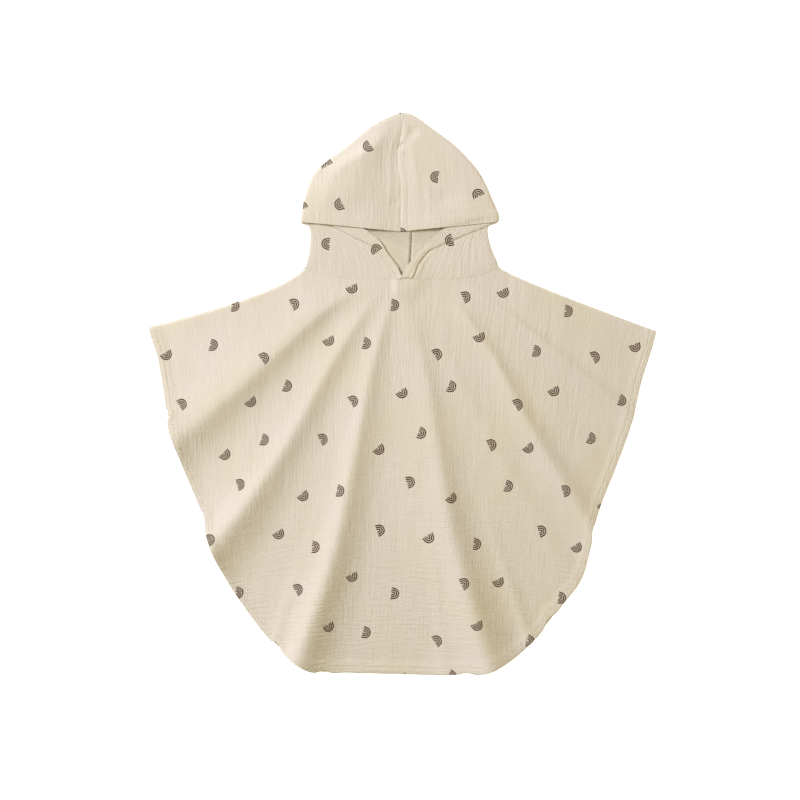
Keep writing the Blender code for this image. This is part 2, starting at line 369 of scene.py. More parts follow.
# The patches and the calm spots: their size in cycles a metre, and where they set in. The patches are rarer
# higher up.
PATCH_SCALE, PATCH_UNEVEN, PATCH_CLIMB, PATCH_RAMP = 9.0, 0.6, 1.2, (0.3, 0.65)
CALM_SCALE, CALM_RAMP = 5.0, (0.42, 0.62)
# The small ripples along a hem, in cycles a metre along it and away from it, and where they fade, in metres.
RIPPLES_ALONG, RIPPLES_AWAY = 300, 60
RIPPLES_FULL, RIPPLES_GONE = 0.005, 0.016
# The tone deepens where the cloth is worn. Painted shade darkens the hollows of the crinkle, and on the plain
# side its crests are painted lighter. Some spots are less bleached. The spots' sizes are in cycles a metre.
WORN_SCALE, UNBLEACHED_SCALE, SPOT_RAMP = 16.0, 10.0, (0.35, 0.7)
WORN_SHARE, HOLLOW_SHADE_SHARE, HOLLOW_SHADE_TOP, INSIDE_SHADE_TOP = 0.4, 0.35, 1.7, 1.16
UNBLEACHED_MOST = 0.45
STAIN_SHARE, INK_SHARE, INK_STREAKS = 0.2, 0.93, 0.1
ROUGHNESS, ROUGHNESS_SPREAD = 0.86, 0.12


def gauze(name, printed):
    """Double gauze: cream cotton, crinkled along its grain, with an open weave. The print soaks in."""
    material = bpy.data.materials.new(name)
    material.use_nodes = True
    shader = material.node_tree.nodes["Principled BSDF"]
    wires = Wire(material.node_tree)
    grain = wires.node("UVMap", {"uv_map": "grain"}, {})
    hem = wires.node("UVMap", {"uv_map": "hem"}, {})

    sway = (grain.swirl(SWAY_SCALE) - 0.5) * SWAY
    offset = sway.node("CombineXYZ", {}, {0: sway})
    swayed = grain.node("VectorMath", {"operation": "ADD"}, {0: grain, 1: offset})
    streaks = swayed.stretched(*FINE_STREAKS).swirl(1.0)
    broad_streaks = swayed.stretched(*BROAD_STREAKS).swirl(1.0, 1.0)
    fine_cross_lines = grain.stretched(*FINE_CROSS_LINES).swirl(1.0, 1.0)
    cross_lines = swayed.stretched(*CROSS_LINES).swirl(1.0, 1.0) + fine_cross_lines * FINE_CROSS_SHARE
    _, grain_y = grain.parts()
    patch = (grain.swirl(PATCH_SCALE) * PATCH_UNEVEN - grain_y * PATCH_CLIMB).ramp(*PATCH_RAMP)
    calm = grain.swirl(CALM_SCALE, 1.0).ramp(*CALM_RAMP) * CALM_MOST
    crinkle = (streaks * FINE_SHARE + broad_streaks * BROAD_SHARE - MIDDLE) * (1 - calm) + MIDDLE
    crinkle = crinkle + cross_lines * (patch * CROSS_SHARE + CROSS_LEAST)
    weave = grain.stretched(*WEAVE).swirl(1.0, 1.0)
    from_hem, along_hem = hem.parts()
    near_hem = 1 - from_hem.ramp(RIPPLES_FULL, RIPPLES_GONE)
    ripple_at = from_hem.node("CombineXYZ", {}, {0: along_hem * RIPPLES_ALONG, 1: from_hem * RIPPLES_AWAY})
    ripples = ripple_at.swirl(1.0, 1.0) * near_hem

    height = crinkle + weave * WEAVE_SHARE + ripples * RIPPLE_SHARE
    bump = grain.node("Bump", {}, {"Height": height, "Distance": RELIEF, "Strength": RELIEF_STRENGTH})
    material.node_tree.links.new(bump.socket, shader.inputs["Normal"])

    if printed:
        worn = grain.swirl(WORN_SCALE, 3.0).ramp(*SPOT_RAMP)
        # Worn spots deepen the tone, and painted shade darkens the crinkle's hollows.
        colour = (worn * WORN_SHARE + (HOLLOW_SHADE_TOP - crinkle) * HOLLOW_SHADE_SHARE).between(CREAM, CREAM_WORN_AND_SHADED)
    else:
        # Painted highlight on the crinkle's crests and painted shade in its hollows.
        colour = (INSIDE_SHADE_TOP - crinkle).between(INSIDE_LIT_CRESTS, INSIDE_SHADED_HOLLOWS)
    unbleached = grain.swirl(UNBLEACHED_SCALE, 2.0).ramp(*SPOT_RAMP) * UNBLEACHED_MOST
    colour = unbleached.between(colour, UNBLEACHED)
    if printed:
        lines, area = arch_ink(wires)
        colour = (area * STAIN_SHARE).between(colour, INK_STAIN)
        colour = (lines * (INK_SHARE + streaks * INK_STREAKS)).between(colour, INK)
    material.node_tree.links.new(colour.socket, shader.inputs["Base Color"])
    roughness = ROUGHNESS + weave * ROUGHNESS_SPREAD
    material.node_tree.links.new(roughness.socket, shader.inputs["Roughness"])
    shader.inputs["Specular IOR Level"].default_value = 0.25
    shader.inputs["Sheen Weight"].default_value = 0.12
    shader.inputs["Sheen Roughness"].default_value = 0.5
    return material


PRINTED_SIDE = gauze("gauze_printed_side", True)
PLAIN_SIDE = gauze("gauze_plain_side", False)


def cloth_piece(name, meshes):
    """A sewn piece: its sheets joined where they meet, and given their wall."""
    data = bpy.data.meshes.new(name)
    whole = bmesh.new()
    for mesh in meshes:
        mesh.to_mesh(data)
        whole.from_mesh(data)
        mesh.free()
    bmesh.ops.remove_doubles(whole, verts=whole.verts, dist=0.01 * MM)
    whole.to_mesh(data)
    whole.free()
    data.shade_smooth()
    piece = bpy.data.objects.new(name, data)
    bpy.context.scene.collection.objects.link(piece)
    data.materials.append(PRINTED_SIDE)
    data.materials.append(PLAIN_SIDE)
    hems = piece.vertex_groups.new(name="hem")
    hem_map = data.uv_layers["hem"].data
    for loop in data.loops:
        wall_here = thickness(hem_map[loop.index].uv[0] / MM)
        hems.add([loop.vertex_index], (wall_here - WALL) / (HEM_WALL - WALL), "REPLACE")
    wall = piece.modifiers.new("wall", "SOLIDIFY")
    wall.thickness = HEM_WALL * MM
    wall.offset = 0
    wall.material_offset = 1
    wall.vertex_group = hems.name
    wall.thickness_vertex_group = WALL / HEM_WALL
    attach(piece, "root")
    return piece


def run_lengths(rows):
    """For each row, how much longer the cloth is than its place on the surface, from the row's middle."""
    lengths = []
    for row in rows:
        half = len(row) // 2
        extra = [0.0] * len(row)
        for i in range(half + 1, len(row)):
            extra[i] = extra[i - 1] + spare(row[i - 1], row[i])
        for i in range(half - 1, -1, -1):
            extra[i] = extra[i + 1] - spare(row[i + 1], row[i])
        lengths.append(extra)
    return lengths


def spare(first, second):
    return math.dist(first, second) - math.dist(first[:2], second[:2])


def flattened(rows):
    """Where each point of a poncho panel lay on the flat cloth, before the folds drew it in."""
    flats = []
    for row, extras in zip(rows, run_lengths(rows)):
        turns = [math.radians(fan_direction(x, y)) for x, y, _ in row]
        flats.append([
            (x + extra * math.cos(turn), y + extra * math.sin(turn))
            for (x, y, _), extra, turn in zip(row, extras, turns)
        ])
    return flats


def grained(flats):
    """Where each point lies along the grain, which was pulled round a little further than the cloth."""
    grains = []
    for row in flats:
        polar = [(fan_distance(x, y), fan_direction(x, y) * GRAIN_TURN) for x, y in row]
        grains.append([from_fan(direction, distance) for distance, direction in polar])
    return grains


def poncho_rows(point, columns, plain_cells, hem_cells, length_at):
    """Rows of points of a panel from the neckline down, and how far each lies from the edge and along it."""
    rows, edges = [], []
    for down in shares(plain_cells, hem_cells, HEM_SHARE_LENGTH):
        row, edge, along = [], [], 0.0
        for i in range(columns + 1):
            across = i / columns
            length = length_at(mix(EDGE[0].direction, EDGE[-1].direction, across))
            row.append(point(across, down))
            along += math.dist(row[i - 1][:2], row[i][:2]) if i else 0.0
            edge.append(((1 - down) * length, along))
        rows.append(row)
        edges.append(edge)
    return rows, edges


def back_reach(direction):
    return reach(direction) - BACK_INSET


def back_point(across, down):
    length = back_reach(mix(EDGE[0].direction, EDGE[-1].direction, across))
    x, y = fan_point(across, down, BACK_NECK_Y, length)
    return x, y, thickness((1 - down) * length) / 2


# The panels are cut the right way up from the printed cloth, the back with this shift in millimetres.
BACK_CUT = (31, 12)

rows, edges = poncho_rows(back_point, *BACK_CELLS, back_reach)
flats = flattened(rows)
back_mesh = cloth_mesh(rows, flats, grained(flats), edges, BACK_CUT, 0)
back_cloth = cloth_piece("back_gauze_panel", [back_mesh])
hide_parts("back_panel")


# ----------------------------------------------------------------------------------------------------
# Front of the poncho. The same gauze and outline as the back with a lower neckline, sewn to it along the
# shoulders. It is laid on the back by hand, so soft folds fan out from under the chin, higher and wider
# towards the hem.

FRONT_NECK_Y = 137.7
LAYER_GAP = 0.25
UPPER_MID = 1.5 * WALL + LAYER_GAP
NECK_LIFT = 0.8
NECK_LIFT_REACH = 0.3
# The hood's right cheek crosses over the left one at the throat, in a spot that eases out, and lifts the
# neckline.
CROSS_LIFT = 2.4
CROSS_SPOT = (-2.0, 145.0)
CROSS_FLAT, CROSS_EASE = 16.0, 26.0
CROSS_LEFT, CROSS_RIGHT = -15.0, -5.0
SHOULDER_ROLL = 3.0
SHOULDER_SPAN = 1000.0
SHOULDER_DROP = 1.2
SEAM_DIP, SEAM_DIP_REACH = 0.08, 3
FRONT_CELLS = (262, 160, 20)
# The front is lifted where it lies on the back's hem, and comes down again over this width.
HEM_STACK_EASE = 12.0
# The wrinkles' sizes across and along the grain, in millimetres, and their heights.
WRINKLE_BROAD, WRINKLE_NARROW = (34, 120), (11, 48)
WRINKLE_BROAD_RISE, WRINKLE_NARROW_RISE = 0.55, 0.28

# Each fold's crest is given near the neck, midway and at the edge, with its height there. Its left flank
# climbs slowly to the crest and its right flank falls away under it: how wide each is at the edge, in
# millimetres.
Fold = namedtuple("Fold", "near middle edge rise_near rise_middle rise_edge left right")
FOLD_PLACES = (0.2, 0.6, 1.0)
FOLDS = (
    Fold(-60, -53, -51.5, 3.4, 8, 11.2, 190, 64),
    Fold(-35.5, -31.8, -33.2, 2.8, 8.2, 15.8, 94, 66),
    Fold(-15, -12.8, -14.3, 3.4, 11, 20.5, 92, 68),
    Fold(13, 10.8, 12.5, 2, 11, 25.5, 140, 60),
    Fold(-18.4, -18.4, -18.4, 0, 0, 1.6, 16, 12),
    Fold(6.2, 6.2, 6.2, 0, 0, 1.6, 14, 12),
    Fold(18.8, 18.8, 18.8, 0, 0, 3.5, 24, 20),
    Fold(27, 27.3, 28.5, 0, 1.8, 3.4, 80, 38),
    Fold(53.4, 39.2, 35.2, 1.9, 6.6, 11.5, 90, 42),
    Fold(70, 60.3, 55.8, 1.5, 4.2, 5, 50, 24),
)
LEFT_SKEW, RIGHT_SKEW = 3.0, 1.0
RIGHT_GROWTH = 0.6
# Where the folds meet the edge it steps in or out a little: direction, how far and how wide in degrees.
Nick = namedtuple("Nick", "direction depth width")
NICKS = (
    Nick(-56.6, -4, 1.6),
    Nick(-37.6, -4, 1.6),
    Nick(-17.8, -4.5, 1.2),
    Nick(-10.6, -3.5, 1.4),
    Nick(9.2, -2.5, 1.4),
    Nick(22.6, -3.5, 1.6),
    Nick(35.6, -3, 1.4),
)


def front_reach(direction):
    return reach(direction) + sum(nick.depth * hump(direction - nick.direction, nick.width) for nick in NICKS)


def neck_height(x):
    share = (x - (NECK_LEFT + NECK_RIGHT) / 2) / ((NECK_RIGHT - NECK_LEFT) / 2)
    return UPPER_MID + NECK_LIFT * max(1 - share * share, 0.0)


def flank(offset, width, skew):
    """A fold's height beside its crest, from 1 to 0, steepest near the crest when it is skewed."""
    share = min(abs(offset) / width, 1.0)
    return math.cos(math.pi / 2 * share * (1 + skew) / (1 + skew * share)) ** 2


def fold_height(x, y):
    """The folds' height at a point of the front."""
    direction, distance = fan_direction(x, y), fan_distance(x, y)
    share = distance / reach(direction)
    height = 0.0
    for fold in FOLDS:
        crest = curve_through(FOLD_PLACES, (fold.near, fold.middle, fold.edge), share)
        rise = curve_through(FOLD_PLACES, (fold.rise_near, fold.rise_middle, fold.rise_edge), share)
        offset = math.radians(direction - crest) * distance
        if offset > 0:
            height += max(rise, 0.0) * flank(offset, fold.right * share**RIGHT_GROWTH, RIGHT_SKEW)
        else:
            height += max(rise, 0.0) * flank(offset, fold.left * (1 + share) / 2, LEFT_SKEW)
    return height


def crossing(x, y):
    distance = math.dist((x, y), CROSS_SPOT)
    return CROSS_LIFT * (1 - ease((distance - CROSS_FLAT) / CROSS_EASE))


def seam_dip(distance, depth=SEAM_DIP):
    """How far the cloth is drawn down into a seam at a distance from it."""
    return depth * (1 - ease(distance / SEAM_DIP_REACH))


def wrinkle(x, y, seed):
    """Soft wrinkles that washing leaves in the gauze, long along the grain and a finger or less across it."""
    broad = noise.noise((x / WRINKLE_BROAD[0], y / WRINKLE_BROAD[1], seed))
    narrow = noise.noise((x / WRINKLE_NARROW[0] + broad, y / WRINKLE_NARROW[1], seed + 7))
    return WRINKLE_BROAD_RISE * broad + WRINKLE_NARROW_RISE * narrow


def front_point(across, down):
    length = front_reach(mix(EDGE[0].direction, EDGE[-1].direction, across))
    x, y = fan_point(across, down, FRONT_NECK_Y, length)
    from_edge = (1 - down) * length
    lift = (neck_height(x) - UPPER_MID) * (1 - ease(down / NECK_LIFT_REACH))
    stack = 1.5 * (HEM_WALL - WALL) * (1 - ease((from_edge - HEM_WIDTH + 2) / HEM_STACK_EASE))
    to_shoulder = min(across, 1 - across) * mix(NECK_RIGHT - NECK_LEFT, SHOULDER_SPAN, down)
    roll = SHOULDER_DROP * (1 - ease(to_shoulder / SHOULDER_ROLL))
    lift += crossing(x, y) * ease((x - CROSS_LEFT) / (CROSS_RIGHT - CROSS_LEFT))
    z = UPPER_MID + lift + stack + fold_height(x, y) * ease(down / FOLD_PLACES[0])
    z += wrinkle(x, y, seed=3) * ease(down * 12) - stitch_dip(from_edge) - roll - seam_dip(down * length)
    return x, y, z


rows, edges = poncho_rows(front_point, *FRONT_CELLS, front_reach)
flats = flattened(rows)
front_mesh = cloth_mesh(rows, flats, grained(flats), edges, (0, 0), 0)
bmesh.ops.reverse_faces(front_mesh, faces=front_mesh.faces)
front_cloth = cloth_piece(
    "front_gauze_panel", [front_mesh]
)
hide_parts("front_panel")


# ----------------------------------------------------------------------------------------------------
# Hood. Two halves joined by a seam that runs from the nape over the crown to the top of the face opening. It
# lies spread above the neck, its hemmed front edge over the cheeks like a visor, and its lower edges meet at
# the throat.

Station = namedtuple("Station", "side_y left right back_seam roll")
SEAM_X = -2.5
STATIONS = (
    Station(152, -119, 118, 146, 1.3),
    Station(161, -115.5, 113.5, 156, 1.7),
    Station(172, -112.6, 108.5, 169, 2),
    Station(188, -111.2, 103.8, 187, 2),
    Station(202, -113, 103.5, 202, 2),
    Station(207.5, -123, 114.5, 207, 2),
    Station(216, -122, 116, 216, 2),
    Station(236, -118.5, 108, 236, 2),
    Station(258, -110.9, 98, 255, 2),
    Station(275, -99, 87, 269, 2),
    Station(301, -65, 62, 288, 2),
    Station(324, -37, 31, 303, 2),
    Station(334, -20.5, 15, 309, 2),
    Station(338.6, -10, 5, 311.5, 2),
    Station(339.8, SEAM_X, SEAM_X, 312.5, 2),
)
# The station at the mouth's corner, the mouth being the face opening. Below it the front layer is a cheek,
# which ends at the opening's edge. Above it is the visor, which ends at the seam. Each row gives where a row
# of cloth ends, how wide and how high the layer rounds over from the side fold, and its inner end's height.
MOUTH = 5
Cheek = namedtuple("Cheek", "left_x left_y right_x right_y round rise puff")
CHEEKS = (
    Cheek(4, 137.7, -8, 137.7, 2, 1, 3.2),
    Cheek(-5.5, 153.5, 5, 154, 4, 0.9, 2.9),
    Cheek(-18, 170, 20, 172, 5, 0.8, 2.7),
    Cheek(-34, 191, 40, 193, 5, 0.6, 2.6),
    Cheek(-76, 213, 78, 213, 4, 0.2, 2.6),
    Cheek(-123, 207.5, 114.5, 207.5, 0, 0, 2.6),
)
Visor = namedtuple("Visor", "front_seam round rise puff")
VISORS = (
    Visor(196, 6, 2, 4.6),
    Visor(206, 6, 2.1, 4.9),
    Visor(230, 6, 2, 4.9),
    Visor(253, 7, 1.8, 4.8),
    Visor(268, 7, 1.8, 4.6),
    Visor(288, 7, 1.8, 4.6),
    Visor(303, 7, 1.8, 4.6),
    Visor(309, 7, 1.8, 4.6),
    Visor(311.5, 7, 1.8, 4.6),
    Visor(312.5, 7, 1.8, 4.6),
)
# The seam wanders a little: how far it lies to the right of its straight line at each height, on both layers.
Wander = namedtuple("Wander", "y front back")
WANDERS = (
    Wander(140, 0, 11),
    Wander(196, 0, 13.5),
    Wander(230, 0, 13.5),
    Wander(259, 0, 8),
    Wander(277, -3.2, 2),
    Wander(296, -2.8, -1),
    Wander(317, 1.8, 1.5),
    Wander(340, 4, 4),
)
WANDER_REACH = 48.0
# Soft folds of the front layer: the ends of a crest, its height, and how wide its left and right flanks are.
Drape = namedtuple("Drape", "top_x top_y foot_x foot_y rise left right")
DRAPES = (
    Drape(-32, 352, -52, 270, 4.2, 300, 46),
    Drape(-48, 300, -96, 188, 4.2, 300, 56),
    Drape(-9, 332, -13, 262, 0.6, 5, 7),
    Drape(-14, 296, -17, 214, 0.5, 6, 8),
    Drape(14, 300, 21, 232, 0.5, 9, 9),
    Drape(30, 262, 34, 206, 0.5, 9, 12),
    Drape(44, 202, 114, 218, 3.2, 7, 40),
    Drape(38, 221, 108, 227, 0.5, 4, 4),
    Drape(56, 231, 104, 238, 0.4, 4, 4),
    Drape(48, 212, 112, 214, 0.6, 5, 4),
)
DRAPE_SPAN, DRAPE_LEFT_SKEW, DRAPE_RIGHT_SKEW = 0.85, 1.0, 0.5
Dent = namedtuple("Dent", "x y width depth")
DENTS = (
    Dent(13, 318, 11, 2.4),
    Dent(1, 300, 7, 1.4),
    Dent(-9, 232, 9, 0.8),
    Dent(52, 236, 16, 0.9),
)
CHEEK_ROWS, VISOR_ROWS = 64, 120
BACK_COLUMNS, ROLL_COLUMNS, ROUND_COLUMNS, PLAIN_COLUMNS, END_COLUMNS = 30, 6, 10, 48, 18
END_REACH = 18.0
ROUND_MOST = 0.6
# The visor's hem is a wider band, whose stitches draw the cloth down less.
BAND_WIDTH, BAND_STITCHES = 12.0, 0.4
# The visor hangs lower where nothing but the back layer is under it, and up to this far above its hem. Its
# soft folds flatten towards the hem, and are whole at this distance from the side fold.
MOUTH_SAG, MOUTH_SAG_X, MOUTH_SAG_REACH, MOUTH_SAG_UP = 1.5, 3.0, 48.0, 60
HEM_DRAPE, HEM_DRAPE_REACH = 0.3, 45
SIDE_SETTLE = 30
# The seam's two raw edges are pressed to the right and stitched down under a strip of this width.
STRIP_WIDTH, STRIP_RISE, STRIP_NEAR_SLOPE, STRIP_FAR_SLOPE = 8.0, 0.15, 1.5, 1.2
TOPSTITCH_DIP, TOPSTITCH_REACH = 0.25, 1.6
CENTRE_SEAM_DIP = 0.4
VALLEY_DEPTH, VALLEY_LEFT, VALLEY_RIGHT = 1.5, 32.0, 20.0
# On the back layer they are pressed to the left.
ALLOWANCE = 6.0
# The distance from a hem that is given to cloth with no hem near it.
FAR_FROM_HEM = 90.0
# Each cheek's edge is turned in on itself and stitched down along a line, as points from its corner to the
# throat.
FACINGS = {
    "left": ((-90, 206), (-74, 197), (-59, 189), (-39, 179.5), (-25, 168), (-13.5, 155), (-5, 140)),
    "right": ((118, 209), (103, 203), (80, 194), (53, 182.5), (32, 173), (18, 156), (12.5, 140)),
}
FACING_RISE, FACING_STEP = 0.9, 2.4
FACING_GROOVE, FACING_GROOVE_REACH = {"left": 1.3, "right": 0.4}, 2.4
# The grain runs down the cheeks, which are drawn together towards the throat.
CHEEK_GRAIN_WIDTH = 130.0
# The fine gathers on the cheeks: their height, and their sizes across and along the grain.
GATHER_RISE, GATHER_ACROSS, GATHER_ALONG = 0.3, 5, 30
CHEEK_WRINKLES = 0.4
EDGE_STEPS = 40


def column(rows, name, station):
    """A named column of a table at a station, which may lie between two rows."""
    values = [getattr(row, name) for row in rows]
    return curve_through(list(range(len(rows))), values, station)


def wander(x, y, layer):
    """How far the seam's wandering takes the cloth beside it to the right."""
    sideways = curve_through([row.y for row in WANDERS], [getattr(row, layer) for row in WANDERS], y)
    return sideways * (1 - ease(abs(x - SEAM_X) / WANDER_REACH))


def drape_height(x, y):
    """The height of the soft folds, less the dents, at a point of the hood's front layer."""
    height = 0.0
    for drape in DRAPES:
        run = Vector((drape.foot_x - drape.top_x, drape.foot_y - drape.top_y))
        here = Vector((x - drape.top_x, y - drape.top_y))
        along = here.dot(run) / run.length_squared
        aside = (here.x * run.y - here.y * run.x) / -run.length
        faded = drape.rise * hump(along - 0.5, DRAPE_SPAN)
        width, skew = (drape.right, DRAPE_RIGHT_SKEW) if aside > 0 else (drape.left, DRAPE_LEFT_SKEW)
        height += faded * flank(aside, width, skew)
    for dent in DENTS:
        height -= dent.depth * hump(math.dist((x, y), (dent.x, dent.y)), dent.width)
    return height


def inward(out, inner, distance):
    """The point at a distance from the side fold towards a row's inner end."""
    span = math.dist(out, inner)
    share = distance / span if span else 0.0
    return mix(out[0], inner[0], share), mix(out[1], inner[1], share)


def onto_neckline(point, middle_y, station):
    x, y, z = point
    return x, mix(neck_y(x, middle_y) + SEAM_GAP / 2, y, min(station, 1.0)), z


def back_rows(out, seam, roll):
    """The back layer from the seam outwards, flat on the surface, then the lower quarter of the side fold."""
    for i in range(BACK_COLUMNS + 1):
        distance = mix(math.dist(out, seam), roll, i / BACK_COLUMNS)
        yield *inward(out, seam, distance), WALL / 2
    for i in range(1, ROLL_COLUMNS + 1):
        turn = math.pi / 2 * i / ROLL_COLUMNS
        yield *inward(out, seam, roll * (1 - math.sin(turn))), WALL / 2 + roll * (1 - math.cos(turn))


def front_rows(out, inner, low, shape):
    """The upper quarter of the side fold, then the front layer to its inner end, in close columns there."""
    span = math.dist(out, inner)
    width, rise = min(shape("round"), ROUND_MOST * span), shape("rise")
    for i in range(1, ROUND_COLUMNS + 1):
        turn = math.pi / 2 * i / ROUND_COLUMNS
        yield *inward(out, inner, width * (1 - math.cos(turn))), low + rise * math.sin(turn)
    end_share = min(END_REACH / (span - width), 0.5) if span > width else 0.5
    steps = [(1 - end_share) * i / PLAIN_COLUMNS for i in range(1, PLAIN_COLUMNS + 1)]
    steps += [1 - end_share + end_share * i / END_COLUMNS for i in range(1, END_COLUMNS)]
    steps += [1 - min(SEAM_ROW / max(span, 1.0), end_share / END_COLUMNS / 2), 1]
    for share in steps:
        distance = mix(width, span, share)
        yield *inward(out, inner, distance), mix(low + rise, shape("puff"), math.sin(math.pi / 2 * share))


def opening_edge(name):
    """The edge of the face opening on one cheek, as points."""
    stations = [MOUTH * i / EDGE_STEPS for i in range(EDGE_STEPS + 1)]
    return [Vector([column(CHEEKS, f"{name}_{axis}", station) for axis in "xy"]) for station in stations]


def edge_distance(line, x, y):
    """How far a point lies from a line of points, and how far along it."""
    here = Vector((x, y))
    best, best_along, run = 1e9, 0.0, 0.0
    for first, second in zip(line, line[1:]):
        step = second - first
        share = min(max((here - first).dot(step) / step.length_squared, 0.0), 1.0)
        distance = (first + step * share - here).length
        if distance < best:
            best, best_along = distance, run + share * step.length
        run += step.length
    return best, best_along


def facing_distance(name, x, y):
    """How far a point of a cheek lies from its facing's line, less than 0 on the facing itself."""
    line = [Vector(point) for point in FACINGS[name]]
    xs, ys = zip(*(FACINGS[name] if name == "left" else FACINGS[name][::-1]))
    return math.copysign(edge_distance(line, x, y)[0], curve_through(xs, ys, x) - y)


def visor_edge_y(x):
    """The visor's lower edge, which runs straight from each corner of the face opening down to the seam."""
    corner = STATIONS[MOUTH].left if x < SEAM_X else STATIONS[MOUTH].right
    share = min((x - SEAM_X) / (corner - SEAM_X), 1.0)
    return mix(VISORS[0].front_seam, STATIONS[MOUTH].side_y, share)


def seam_shape(x):
    """The hood's seam on the front layer: drawn down at the stitches, with a raised strip to its right."""
    aside = x - SEAM_X
    strip = STRIP_RISE * ease(aside / STRIP_NEAR_SLOPE) * (1 - ease((aside - STRIP_WIDTH) / STRIP_FAR_SLOPE))
    valley = VALLEY_DEPTH * (1 - ease(abs(aside) / (VALLEY_LEFT if aside < 0 else VALLEY_RIGHT)))
    topstitch = TOPSTITCH_DIP * hump(aside - STRIP_WIDTH, TOPSTITCH_REACH)
    return strip - valley - topstitch - seam_dip(abs(aside), CENTRE_SEAM_DIP)


def hood_row(name, sign, station, is_cheek):
    """One row of a hood half: its points, and how far each lies from its hem and along it."""
    seam_x = SEAM_X + sign * SEAM_GAP / 2
    out_x = sign * max(sign * column(STATIONS, name, station), sign * seam_x)
    out = out_x, column(STATIONS, "side_y", station)
    roll = column(STATIONS, "roll", station)
    row, hems = [], []
    for point in back_rows(out, (seam_x, column(STATIONS, "back_seam", station)), roll):
        x, y, z = onto_neckline(point, BACK_NECK_Y, station)
        pressed = sign < 0 and x > SEAM_X - ALLOWANCE
        z += (HEM_WALL - WALL) / 2 if pressed else 0.0
        row.append((x + wander(x, y, "back"), y, z))
        hems.append((0.0 if pressed else FAR_FROM_HEM, y))
    low = WALL / 2 + roll
    if is_cheek:
        edge = opening_edge(name)
        inner = column(CHEEKS, name + "_x", station), column(CHEEKS, name + "_y", station)
        span = max(math.dist(out, inner), 1.0)
        for point in front_rows(out, inner, low, lambda part: column(CHEEKS, part, station)):
            x, y, z = onto_neckline(point, FRONT_NECK_Y, station)
            z = mix(neck_height(x), z, min(station, 1.0))
            distance, along = edge_distance(edge, x, y)
            beyond = facing_distance(name, x, y)
            z += crossing(x, y) if sign > 0 else 0.0
            groove = FACING_GROOVE[name] * hump(beyond - 0.5, FACING_GROOVE_REACH)
            z += FACING_RISE * (1 - ease((beyond + 1) / FACING_STEP)) - groove
            z -= seam_dip(y - neck_y(x, FRONT_NECK_Y))
            across = CHEEK_GRAIN_WIDTH * math.dist((x, y), inner) / span
            gathers = GATHER_RISE * noise.noise((across / GATHER_ACROSS, y / GATHER_ALONG, sign))
            row.append((x, y, z + wrinkle(x, y, seed=20 + sign) * CHEEK_WRINKLES + gathers))
            hems.append((min(distance, HEM_WIDTH - 1) if beyond < 0 else HEM_WIDTH + beyond, along))
    else:
        inner = seam_x, column(VISORS, "front_seam", station - MOUTH)
        for point in front_rows(out, inner, low, lambda part: column(VISORS, part, station - MOUTH)):
            x, y, z = point
            distance = max(y - visor_edge_y(x), 0.0)
            sag = MOUTH_SAG * hump(x - MOUTH_SAG_X, MOUTH_SAG_REACH) * (1 - ease(distance / MOUTH_SAG_UP))
            settle = ease(math.dist((x, y), out) / SIDE_SETTLE)
            draped = drape_height(x, y) * mix(HEM_DRAPE, 1, ease(distance / HEM_DRAPE_REACH))
            z += (draped + wrinkle(x, y, seed=30) + seam_shape(x)) * settle
            z -= sag + BAND_STITCHES * stitch_dip(distance, BAND_WIDTH) * settle
            row.append((x + wander(x, y, "front"), y, z))
            hems.append((max(distance - BAND_WIDTH + HEM_WIDTH, 0.0), x))
    return row, hems


def unfolded(row):
    """Where a row's points lay on the flat cloth, from its inner end over the side fold to the back."""
    fold = BACK_COLUMNS + ROLL_COLUMNS
    aim = Vector(row[fold][:2]) - Vector(row[-1][:2])
    aim = aim.normalized() if aim.length > 0.01 else Vector((1, 0))
    flats, extra = [tuple(row[-1][:2])], 0.0
    for i in range(len(row) - 2, -1, -1):
        length, plan = math.dist(row[i], row[i + 1]), math.dist(row[i][:2], row[i + 1][:2])
        if i >= fold:
            extra += length - plan
            flats.append(tuple(Vector(row[i][:2]) + aim * extra))
        else:
            flats.append(tuple(Vector(flats[-1]) + aim * length))
    return flats[::-1]


def cheek_grain(row, sign):
    """The grain of a cheek, which runs down between the side fold and the edge of the face opening."""
    fold = BACK_COLUMNS + ROLL_COLUMNS
    span = max(math.dist(row[fold][:2], row[-1][:2]), 1.0)
    grain = []
    for x, y, _ in row:
        share = math.dist((x, y), row[-1][:2]) / span
        grain.append((sign * CHEEK_GRAIN_WIDTH * share, y))
    return grain


# Each half is cut upside down from the printed cloth: its shift in millimetres and its turn in degrees.
HOOD_CUTS = {"left": ((0, 0), 180), "right": ((30, 20), 180)}


def hood_sheet(name, sign, first, last, cells, is_cheek):
    """The cheek or the visor of a hood half, with the back layer behind it, between two stations."""
    stations = [mix(first, last, i / cells) for i in range(cells + 1)]
    if is_cheek:
        stations.insert(1, SEAM_ROW / (STATIONS[1].side_y - STATIONS[0].side_y))
    made = [hood_row(name, sign, station, is_cheek) for station in stations]
    rows, hems = [row for row, _ in made], [hem for _, hem in made]
    shift, turn = HOOD_CUTS[name]
    flats = [unfolded(row) for row in rows]
    grains = [cheek_grain(row, sign) for row in rows] if is_cheek else flats
    mesh = cloth_mesh(rows, flats, grains, hems, shift, turn)
    if sign > 0:
        bmesh.ops.reverse_faces(mesh, faces=mesh.faces)
    return mesh


hood_cloths = {}
for name, sign in (("left", -1), ("right", 1)):
    lower = hood_sheet(name, sign, 0, MOUTH, CHEEK_ROWS, True)
    upper = hood_sheet(name, sign, MOUTH, len(STATIONS) - 1, VISOR_ROWS, False)
    half = cloth_piece(f"hood_{name}_half", [lower, upper])
    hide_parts("hood_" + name)
    hood_cloths[name] = half


# ----------------------------------------------------------------------------------------------------
# Machine stitches in cotton thread: along the poncho's front hem, the visor's hem, the bands of the face
# opening and down the right of the hood's seam. Each stitch is pulled a little into the gauze.

